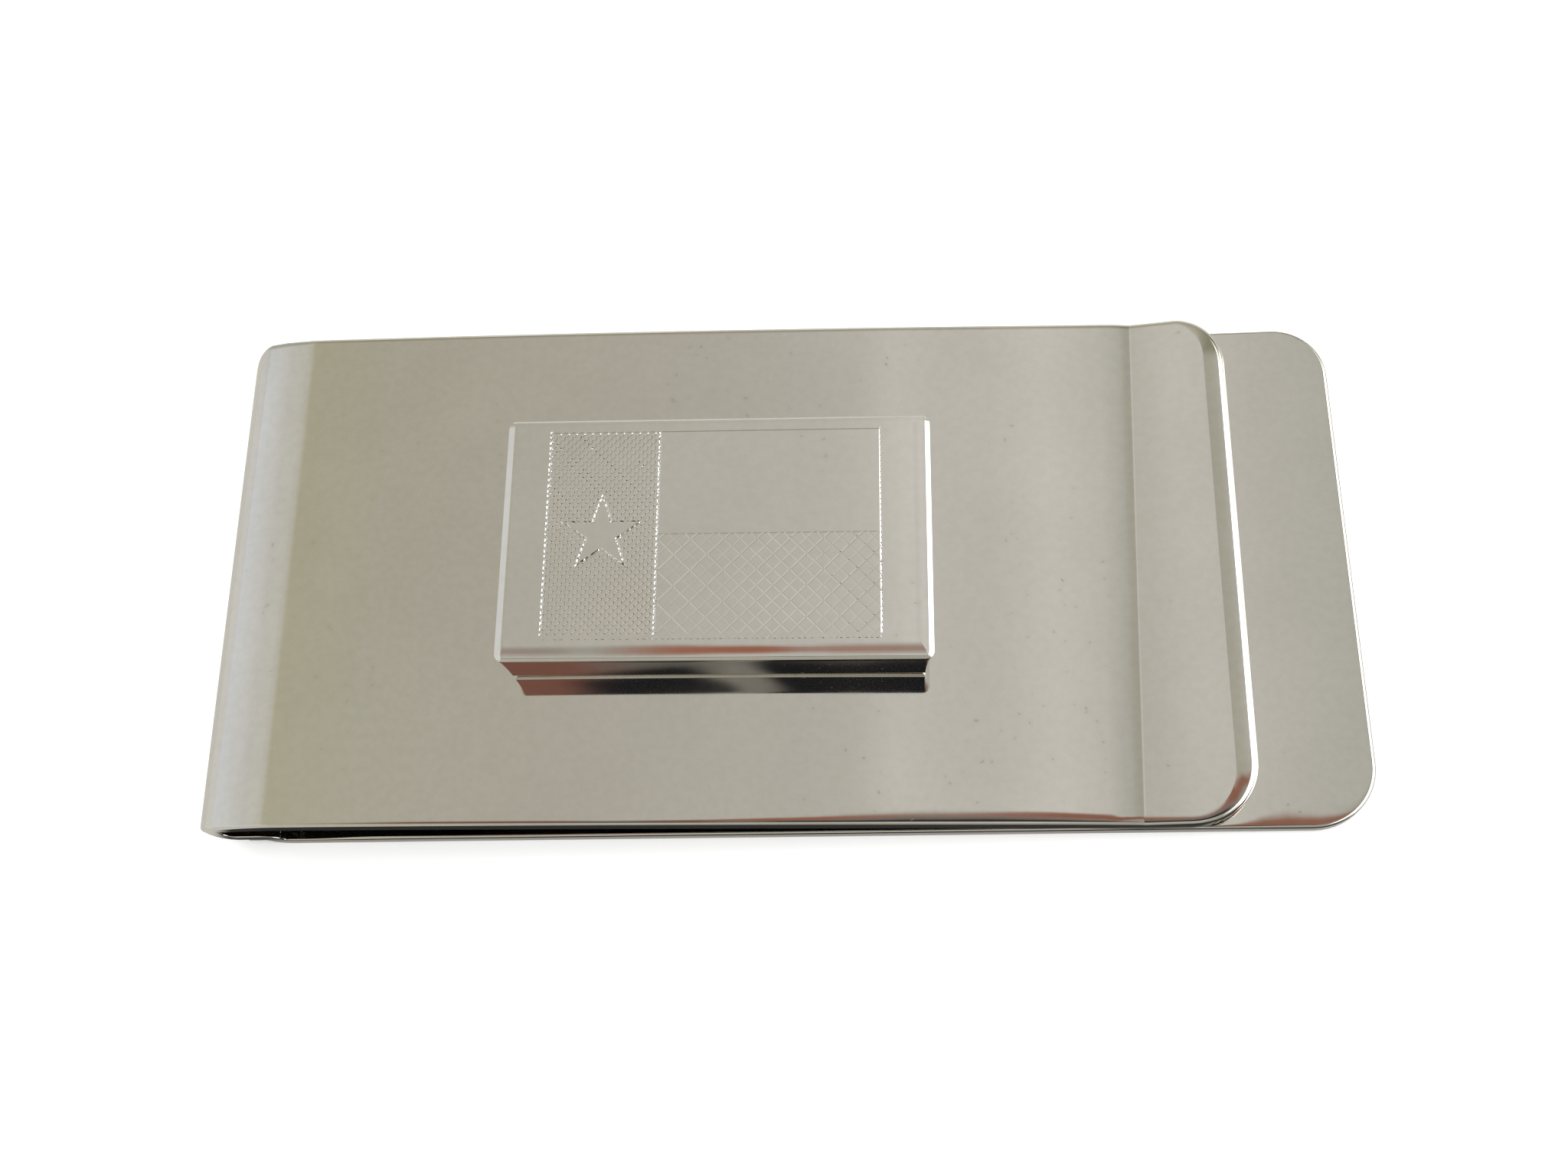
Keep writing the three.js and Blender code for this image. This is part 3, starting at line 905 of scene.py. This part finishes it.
def polished_plate(name, colour):
    """Mirror-polished plating: faint mottling, tarnish specks and a slightly uneven gloss."""
    material, n = new_material(name)
    where = n.spot()
    cloud = n.step(n.noise(where, CLOUD_SCALE, 3.0), *CLOUD_RANGE)
    shade = n.mix(cloud, colour, [c * CLOUD_SHADE for c in colour])
    mottle = n.step(n.noise(where, MOTTLE_SCALE, 2.0), *MOTTLE_RANGE)
    shade = n.mix(mottle, shade, MOTTLE_TINT, "MULTIPLY")
    specks = n.step(n.noise(where, SPECK_SCALE, 1.0), *SPECK_RANGE)
    patches = n.step(n.noise(where, SPECK_PATCH_SCALE, 1.0), *SPECK_PATCH_RANGE)
    speck = n.math("MULTIPLY", specks, patches)
    shade = n.mix(n.math("MULTIPLY", speck, SPECK_STRENGTH), shade, SPECK_TINT)
    smear = n.noise(where, SMEAR_SCALE, 4.0, SMEAR_DISTORTION)
    roughness = n.step(smear, *SMEAR_RANGE, *POLISH_ROUGHNESS)
    roughness = n.math("ADD", roughness, n.math("MULTIPLY", speck, SPECK_ROUGHNESS))
    ripple = n.noise(where, RIPPLE_SCALE, 1.0)
    bump = n.add("ShaderNodeBump", {
        "Height": ripple, "Strength": 1.0, "Distance": RIPPLE_HEIGHT_M,
    })
    n.surface(n.add("ShaderNodeBsdfPrincipled", {
        "Base Color": shade, "Metallic": 1.0, "Roughness": roughness,
        "Normal": bump.outputs["Normal"],
    }))
    return material


def cured_adhesive():
    """A thin clear bond that has yellowed a little, with small bubbles."""
    material, n = new_material("cured_adhesive")
    where = n.spot()
    bubbles = n.step(n.noise(where, BUBBLE_SCALE, 1.0), *BUBBLE_RANGE)
    tone = n.mix(n.noise(where, BOND_TONE_SCALE, 3.0), *BOND_TONES)
    tone = n.mix(n.math("MULTIPLY", bubbles, BUBBLE_STRENGTH), tone, BUBBLE_TINT)
    bump = n.add("ShaderNodeBump", {
        "Height": bubbles, "Strength": 0.6, "Distance": BUBBLE_HEIGHT_M,
    })
    n.surface(n.add("ShaderNodeBsdfPrincipled", {
        "Base Color": tone, "Roughness": n.step(bubbles, 0.0, 1.0, *BOND_ROUGHNESS),
        "Normal": bump.outputs["Normal"],
    }))
    return material


# ---- Stage, light and camera ----


FLOOR_SIZE = 3000.0
FLOOR_BELOW_M = 0.00002
FLOOR_TONES = ((0.9, 0.9, 0.9), (0.92, 0.92, 0.915))
FLOOR_TONE_SCALE = 9.0
# What mirrors see of the floor: away from the near side, and on the near side.
FLOOR_MIRRORED = ((0.42, 0.41, 0.39), (0.03, 0.03, 0.03))
NEAR_FADE = 0.3
FOLD_FADE = (-0.6, 0.4)

LIGHT_SIZE_M = 1.6
LIGHT_POWER = 9.0
LIGHT_PLACE_M = (0.0, 0.1, 1.0)


def square(size):
    return [(-size, -size, 0), (size, -size, 0), (size, size, 0), (-size, size, 0)]


def make_floor():
    """A plain pale floor, which mirrors see darker than the camera does."""
    floor = make_mesh("floor", square(FLOOR_SIZE), [(0, 1, 2, 3)])
    floor.location.z = -FLOOR_BELOW_M
    material, n = new_material("pale_floor")
    where = n.spot()
    tone = n.mix(n.noise(where, FLOOR_TONE_SCALE, 2.0), *FLOOR_TONES)
    # Mirrors see the floor darkest on the near side, where the camera keeps the light off it.
    split = n.add("ShaderNodeSeparateXYZ", {0: where})
    near_y = base_low[1]
    near = n.step(split.outputs["Y"], (near_y - NEAR_FADE) * MM, near_y * MM, 1.0, 0.0)
    past_fold = n.step(split.outputs["X"], *((FOLD_X + fade) * MM for fade in FOLD_FADE))
    near = n.math("MULTIPLY", near, past_fold)
    shaded = n.mix(near, *FLOOR_MIRRORED)
    mirrored = n.add("ShaderNodeLightPath").outputs["Is Glossy Ray"]
    n.surface(n.add("ShaderNodeBsdfPrincipled", {
        "Base Color": n.mix(mirrored, tone, shaded), "Roughness": 0.9, "Specular IOR Level": 0.0,
    }))
    floor.data.materials.append(material)


def make_overhead_light():
    """A broad soft light for the floor. The metal doesn't mirror it."""
    data = bpy.data.lights.new("overhead_softbox", "AREA")
    data.shape = "DISK"
    data.size = LIGHT_SIZE_M
    data.energy = LIGHT_POWER
    light = bpy.data.objects.new("overhead_softbox", data)
    light.location = LIGHT_PLACE_M
    light.visible_glossy = False
    bpy.context.scene.collection.objects.link(light)


CARD_HEIGHT = 78.0
# Half its side. Its outer CARD_FADE fades out.
CARD_SIZE = 130.0
CARD_FADE = 25.0
# The far part is darkened from the first Y to the second.
CARD_FAR = (56.0, 80.0)
CARD_FAR_TINT = (0.66, 0.65, 0.56)
WOBBLE_SCALE = 0.035
WOBBLE = 22.0
# What the card shows from left to right: X in millimetres and a colour.
CARD_COLOURS = [
    (-125, (0.692, 0.731, 0.785)),
    (-117, (0.774, 0.826, 0.946)),
    (-110, (0.740, 0.764, 0.840)),
    (-96, (0.716, 0.739, 0.767)),
    (-84, (0.686, 0.691, 0.685)),
    (-76, (0.640, 0.638, 0.617)),
    (-66, (0.632, 0.628, 0.590)),
    (-62, (0.590, 0.580, 0.520)),
    (-57, (0.494, 0.477, 0.362)),
    (-50, (0.490, 0.474, 0.368)),
    (-40, (0.490, 0.473, 0.406)),
    (-24, (0.500, 0.482, 0.428)),
    (-10, (0.518, 0.500, 0.454)),
    (2, (0.547, 0.530, 0.490)),
    (8, (0.577, 0.561, 0.521)),
    (11.5, (0.652, 0.640, 0.600)),
    (17, (0.622, 0.607, 0.570)),
    (21, (0.614, 0.599, 0.566)),
    (28, (0.690, 0.673, 0.634)),
    (33, (0.618, 0.605, 0.566)),
    (38, (0.562, 0.553, 0.520)),
    (47, (0.505, 0.500, 0.460)),
    (54, (0.435, 0.424, 0.366)),
    (66, (0.470, 0.465, 0.409)),
    (75, (0.585, 0.575, 0.528)),
    (80, (2.600, 2.650, 2.800)),
]


# Ellipses laid over those colours, in order: middle, radii, softness of the rim (as a share of the
# radii), colour, and how it is laid on.
CARD_PATCHES = [
    # A slight shade on the far left.
    ((-50.0, 50.0), (34.0, 26.0), 0.6, (0.975, 0.97, 0.96), "MULTIPLY"),
    # The dim surroundings of the camera.
    ((8.0, -38.0), (50.0, 30.0), 0.25, (0.17, 0.165, 0.15), "MIX"),
    # The reddish shapes of a hand.
    ((0.6, -9.5), (13.0, 4.6), 0.5, (0.34, 0.13, 0.08), "MIX"),
    ((42.0, -10.0), (24.0, 5.8), 0.5, (0.30, 0.135, 0.095), "MIX"),
    ((-30.0, -26.0), (15.0, 15.0), 0.35, (0.23, 0.105, 0.083), "MIX"),
    # The camera, with a grey streak down its left half.
    ((11.0, -32.0), (31.0, 15.0), 0.12, (0.015, 0.015, 0.018), "MIX"),
    ((-5.0, -30.0), (3.5, 14.0), 0.5, (0.25, 0.24, 0.22), "MIX"),
]


def make_card():
    """The card over the clip that the metal mirrors, with the dark of the camera in its middle.

    Only mirrors see it. It fades out at its edges, where the world takes over. Its nodes work in
    millimetres."""
    size = CARD_SIZE
    card = make_mesh("mirror_card", square(size), [(3, 2, 1, 0)])
    card.location.z = CARD_HEIGHT * MM
    for rays in ("camera", "diffuse", "transmission", "volume_scatter", "shadow"):
        setattr(card, "visible_" + rays, False)
    material, n = new_material("mirror_card")
    scaled = {0: n.spot(), "Scale": 1 / MM}
    where = n.add("ShaderNodeVectorMath", scaled, operation="SCALE").outputs[0]
    split = n.add("ShaderNodeSeparateXYZ", {0: where})
    x, y = split.outputs["X"], split.outputs["Y"]
    stops = [((px + size) / (2 * size), rgb) for px, rgb in CARD_COLOURS]
    tone = n.ramp(n.share(x, -size, size), stops)
    tone = n.mix(n.step(y, *CARD_FAR), tone, CARD_FAR_TINT, "MULTIPLY")
    wobble = n.math("SUBTRACT", n.noise(where, WOBBLE_SCALE, 2.0), 0.5)
    wobble = n.math("MULTIPLY", wobble, WOBBLE)

    def offset(value, middle, radius):
        return n.math("DIVIDE", n.math("SUBTRACT", n.math("ADD", value, wobble), middle), radius)

    def patch(middle, radii, soft):
        """1 inside an ellipse on the card, with a wavy soft edge."""
        dx, dy = offset(x, middle[0], radii[0]), offset(y, middle[1], radii[1])
        squares = n.math("ADD", n.math("MULTIPLY", dx, dx), n.math("MULTIPLY", dy, dy))
        return n.step(n.math("SQRT", squares), 1 - soft, 1 + soft, 1.0, 0.0)

    for middle, radii, soft, colour, blend in CARD_PATCHES:
        tone = n.mix(patch(middle, radii, soft), tone, colour, blend)
    glow = n.add("ShaderNodeEmission", {"Color": tone})
    clear = n.add("ShaderNodeBsdfTransparent")
    across = n.math("MAXIMUM", n.math("ABSOLUTE", x), n.math("ABSOLUTE", y))
    fade = n.add("ShaderNodeMixShader", {
        0: n.step(across, size - CARD_FADE, size), 1: glow.outputs[0],
    })
    n.feed(fade.inputs[2], clear.outputs[0])
    n.surface(fade)
    card.data.materials.append(material)


# The world's walls by direction: left to right, then a factor from the near side to the far one.
WALL_COLOURS = [
    (0.0, (0.78, 0.8, 0.8)),
    (0.1, (0.78, 0.8, 0.81)),
    (0.17, (0.7, 0.71, 0.72)),
    (0.5, (0.45, 0.44, 0.4)),
    (0.8, (0.42, 0.41, 0.36)),
    (0.87, (0.9, 0.9, 0.9)),
    (0.92, (3.0, 3.05, 3.2)),
    (1.0, (3.0, 3.05, 3.2)),
]
WALL_FACTORS = [
    (0.0, (0.9, 0.88, 0.82)),
    (0.25, (1.0, 0.97, 0.9)),
    (0.7, (0.9, 0.88, 0.86)),
    (0.9, (0.6, 0.6, 0.5)),
    (0.97, (1.4, 1.4, 1.3)),
    (1.0, (1.7, 1.7, 1.7)),
]
BELOW_TONE = (0.25, 0.24, 0.22)
HORIZON_FADE = 0.05
BACKDROP_TONE = (1.04, 1.04, 1.04)


def make_world():
    """The studio round the clip: grey walls, a window to the right, a pale background."""
    world = bpy.data.worlds.new("studio")
    bpy.context.scene.world = world
    world.use_nodes = True
    n = Nodes(world.node_tree)
    direction = n.add("ShaderNodeTexCoord").outputs["Generated"]
    split = n.add("ShaderNodeSeparateXYZ", {0: direction})
    x, y, z = (split.outputs[k] for k in "XYZ")
    walls = n.ramp(n.share(x, -1.0, 1.0), WALL_COLOURS)
    sky = n.mix(1.0, walls, n.ramp(n.share(y, -1.0, 1.0), WALL_FACTORS), "MULTIPLY")
    sky = n.mix(n.step(z, -HORIZON_FADE, 0.0, 1.0, 0.0), sky, BELOW_TONE)
    rays = n.add("ShaderNodeLightPath").outputs
    pale = n.math("MAXIMUM", rays["Is Camera Ray"], rays["Is Diffuse Ray"])
    sky = n.mix(pale, sky, BACKDROP_TONE)
    n.surface(n.add("ShaderNodeBackground", {"Color": sky, "Strength": 1.0}), "World")


CAMERA_AZIMUTH = math.radians(17.79)
CAMERA_ELEVATION = math.radians(69.64)
CAMERA_ROLL = math.radians(-18.35)
CAMERA_DISTANCE = 76.21
CAMERA_LENS = 38.85
CAMERA_SENSOR = 36.0
CAMERA_CLIP_M = (0.002, 20.0)
# From the middle of the CAD box to the point the camera looks at.
TARGET_OFFSET = (0.446, -1.342, 0.0)


def make_camera():
    data = bpy.data.cameras.new("camera")
    data.lens = CAMERA_LENS
    data.sensor_width = CAMERA_SENSOR
    data.clip_start, data.clip_end = CAMERA_CLIP_M
    camera = bpy.data.objects.new("camera", data)
    bpy.context.scene.collection.objects.link(camera)
    target = (cad_low + cad_high) / 2 + Vector(TARGET_OFFSET) * MM
    flat = math.cos(CAMERA_ELEVATION)
    back = Vector((
        math.sin(CAMERA_AZIMUTH) * flat,
        -math.cos(CAMERA_AZIMUTH) * flat,
        math.sin(CAMERA_ELEVATION),
    ))
    camera.location = target + back * CAMERA_DISTANCE * MM
    turn = (-back).to_track_quat("-Z", "Y").to_matrix() @ Matrix.Rotation(CAMERA_ROLL, 3, "Z")
    camera.rotation_euler = turn.to_euler()
    bpy.context.scene.camera = camera


# ---- Assembly ----

outer = clamp_path()
base_strip = make_leaf(
    "base_strip", step_path(), BASE_END_X, BASE_END_SKEW, BASE_RADII, -1, no_narrowing,
    base_taper, base_edge,
)
clamp_strip = make_leaf(
    "clamp_strip", outer, LIP_END_X, 0.0, LIP_RADII, 1, bulb_narrowing(outer), crease_skew,
    clamp_edge,
)
engraved = make_plaque(outer)

base_strip.data.materials.append(polished_plate("base_plate", PLATE))
clamp_strip.data.materials.append(polished_plate("clamp_plate", PLATE))
engraved.data.materials.append(polished_plate("plaque_plate", PLAQUE_PLATE))
bond = frame["nodes"]["adhesive_layer"]
bond.data.materials.clear()
bond.data.materials.append(cured_adhesive())

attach(base_strip, "base")
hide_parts("base_leaf")
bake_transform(clamp_strip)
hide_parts("fold_bend", "clamp_leaf")
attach(engraved, "clamp")
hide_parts("plaque")

make_floor()
make_overhead_light()
make_card()
make_world()
make_camera()
bpy.context.scene.view_settings.view_transform = "Standard"
